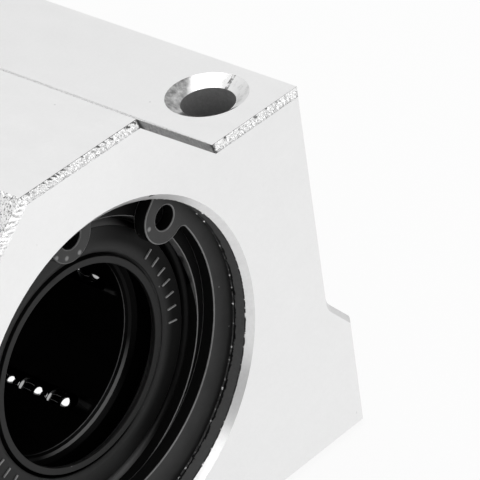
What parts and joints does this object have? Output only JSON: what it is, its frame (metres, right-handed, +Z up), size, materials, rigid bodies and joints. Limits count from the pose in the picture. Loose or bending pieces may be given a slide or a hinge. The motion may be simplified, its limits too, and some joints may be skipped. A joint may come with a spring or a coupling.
{
  "type": "linear bearing block",
  "caption": "Aluminium pillow block with a recirculating ball bushing, end seals and circlips, for sliding along a round shaft.",
  "frame": {"origin": "middle of the base face, below the middle of the shaft axis", "axes": "+Z up from the base, +Y along the shaft from the front face to the rear, +X across the block to the right seen from the front"},
  "size_m": [0.05, 0.044, 0.0385],
  "materials": {
    "block_aluminium": "satin",
    "sleeve_steel": "ground",
    "retainer_plastic": "satin black",
    "seal_rubber": "matte black",
    "wire_steel": "satin",
    "circlip_steel": "phosphated, dark grey",
    "ball_steel": "polished"
  },
  "bodies": {
    "root": {"housing_block": "block_aluminium", "bearing_sleeve": "sleeve_steel", "ball_retainer": "retainer_plastic", "front_seal": "seal_rubber", "front_stop_ring": "wire_steel", "front_circlip": "circlip_steel", "rear_seal": "seal_rubber", "rear_stop_ring": "wire_steel", "rear_circlip": "circlip_steel", "loaded_balls_1": "ball_steel", "return_balls_1": "ball_steel", "loaded_balls_2": "ball_steel", "return_balls_2": "ball_steel", "loaded_balls_3": "ball_steel", "return_balls_3": "ball_steel", "loaded_balls_4": "ball_steel", "return_balls_4": "ball_steel", "loaded_balls_5": "ball_steel", "return_balls_5": "ball_steel"}
  },
  "joints": []
}
